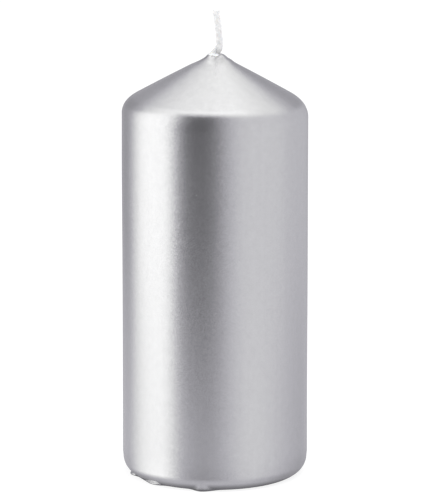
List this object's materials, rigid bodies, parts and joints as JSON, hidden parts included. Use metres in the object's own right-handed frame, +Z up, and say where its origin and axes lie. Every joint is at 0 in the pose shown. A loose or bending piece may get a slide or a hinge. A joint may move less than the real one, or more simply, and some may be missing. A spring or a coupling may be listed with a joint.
{
  "type": "pillar candle",
  "caption": "Round pillar candle with a conical top, a silver lacquer coat over dipped wax, and a waxed plaited wick that bends.",
  "frame": {"origin": "centre of the flat base, on the surface the candle stands on", "axes": "+Z up the candle's axis to the wick; the wick's flat side faces -Y and its kink sets it over to +X"},
  "size_m": [0.06, 0.06, 0.1516],
  "materials": {
    "silver_lacquer": "satin",
    "dipped_wax": "satin",
    "core_wax": "matte",
    "wick_wax": "satin",
    "wick_cotton": "matte",
    "tinplate": "satin"
  },
  "bodies": {
    "candle": {"wax_core": "core_wax", "overdip_shell": "dipped_wax", "silver_lacquer": "silver_lacquer", "wick_sustainer": "tinplate", "buried_strand_1": "wick_cotton", "buried_strand_2": "wick_cotton", "buried_strand_3": "wick_cotton"},
    "wick_knee": {"knee_wick_wax": "wick_wax", "knee_strand_1": "wick_cotton", "knee_strand_2": "wick_cotton", "knee_strand_3": "wick_cotton"},
    "wick_end": {"end_wick_wax": "wick_wax", "end_strand_1": "wick_cotton", "end_strand_2": "wick_cotton", "end_strand_3": "wick_cotton"}
  },
  "joints": [
    {"name": "wick_sway", "type": "hinge", "parent": "candle", "child": "wick_knee", "pos_m": [0.00129, 0, 0.14], "axis": [0, 1, 0], "range_deg": [-45, 45]},
    {"name": "wick_nod", "type": "hinge", "parent": "wick_knee", "child": "wick_end", "pos_m": [0.00133, 0, 0.1424], "axis": [1, 0, 0], "range_deg": [-45, 45]}
  ]
}
